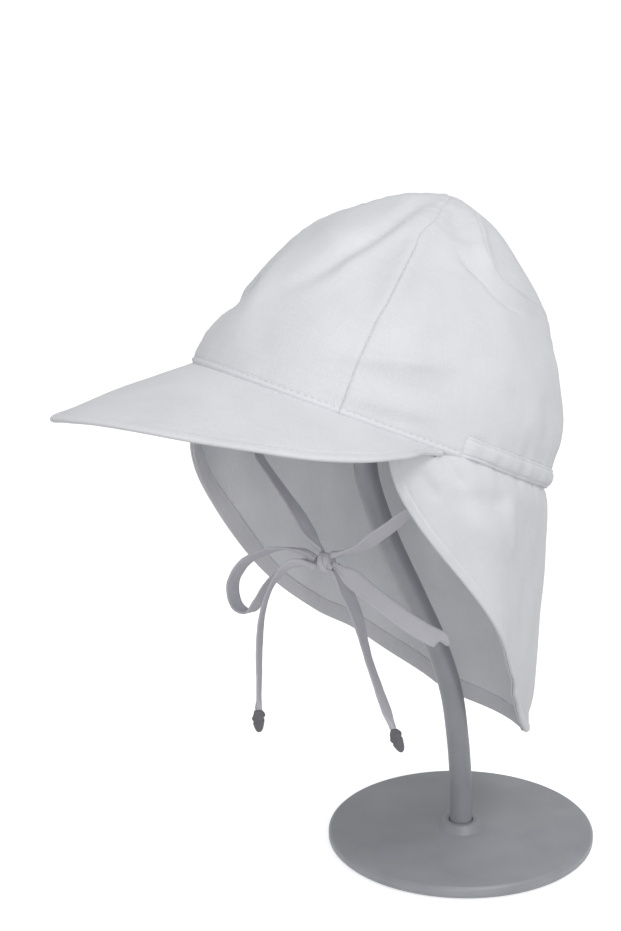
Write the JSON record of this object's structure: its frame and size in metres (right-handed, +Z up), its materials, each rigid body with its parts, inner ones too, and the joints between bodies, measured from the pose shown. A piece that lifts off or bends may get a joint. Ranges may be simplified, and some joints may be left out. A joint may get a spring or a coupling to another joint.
{
  "type": "legionnaire cap on display stand",
  "caption": "Soft domed child's sun cap with a curved peak, a gathered back band, a long neck flap and chin ties tied in a bow, on a plain bent-rod display stand.",
  "frame": {"origin": "centre of the stand base's underside, on the floor", "axes": "+X towards the wearer's left, the peak points to -Y, +Z up"},
  "size_m": [0.1765, 0.2648, 0.307],
  "materials": {
    "cloth_white": "matte woven cotton",
    "cloth_tie": "matte woven cotton strap",
    "stand_metal": "satin grey",
    "stand_plastic": "matte"
  },
  "bodies": {
    "root": {"crown_front": "cloth_white", "crown_left": "cloth_white", "crown_back": "cloth_white", "crown_right": "cloth_white", "peak": "cloth_white", "back_band": "cloth_white", "neck_flap": "cloth_white", "flap_hem": "cloth_white", "tie_left": "cloth_tie", "tie_right": "cloth_tie", "bow_knot": "cloth_tie", "bow_loop_left": "cloth_tie", "bow_loop_right": "cloth_tie", "tail_left": "cloth_tie", "tail_right": "cloth_tie", "tail_end_left": "cloth_tie", "tail_end_right": "cloth_tie", "stand_stem": "stand_metal", "stand_base": "stand_metal", "stand_rest": "stand_plastic"}
  },
  "joints": []
}
